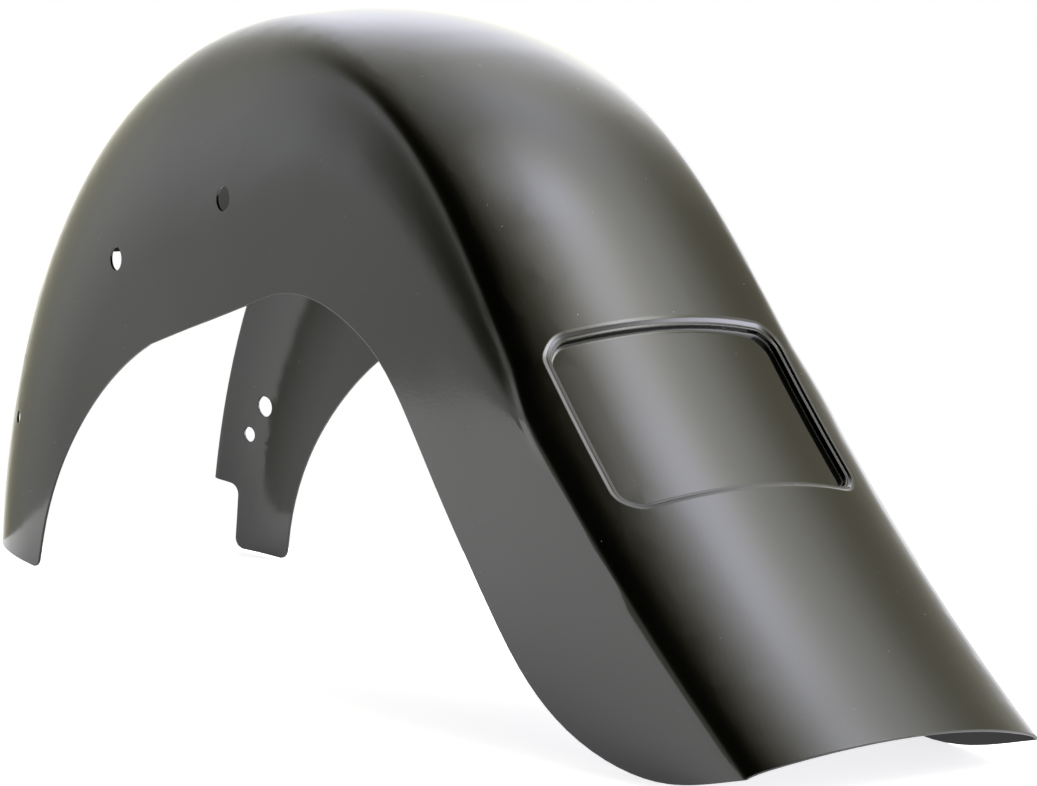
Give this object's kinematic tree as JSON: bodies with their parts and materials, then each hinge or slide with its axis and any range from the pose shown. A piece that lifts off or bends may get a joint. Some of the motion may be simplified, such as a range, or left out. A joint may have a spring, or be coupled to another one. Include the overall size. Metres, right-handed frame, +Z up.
{
  "type": "stretched rear fender",
  "caption": "Stretched sheet-steel rear fender for a cruiser, with deep side panels, a front cut-out between two legs, strut holes and a sunk plate pocket in the tail.",
  "frame": {"origin": "middle of the footprint, on the ground, with the fender standing on its tail panels and right leg", "axes": "+X back to the tail, +Y to the right-hand side of the motorcycle, +Z up"},
  "size_m": [0.8992, 0.224, 0.4153],
  "materials": {
    "coat": "satin black primer coat"
  },
  "bodies": {
    "root": {"fender_shell": "coat"}
  },
  "joints": []
}
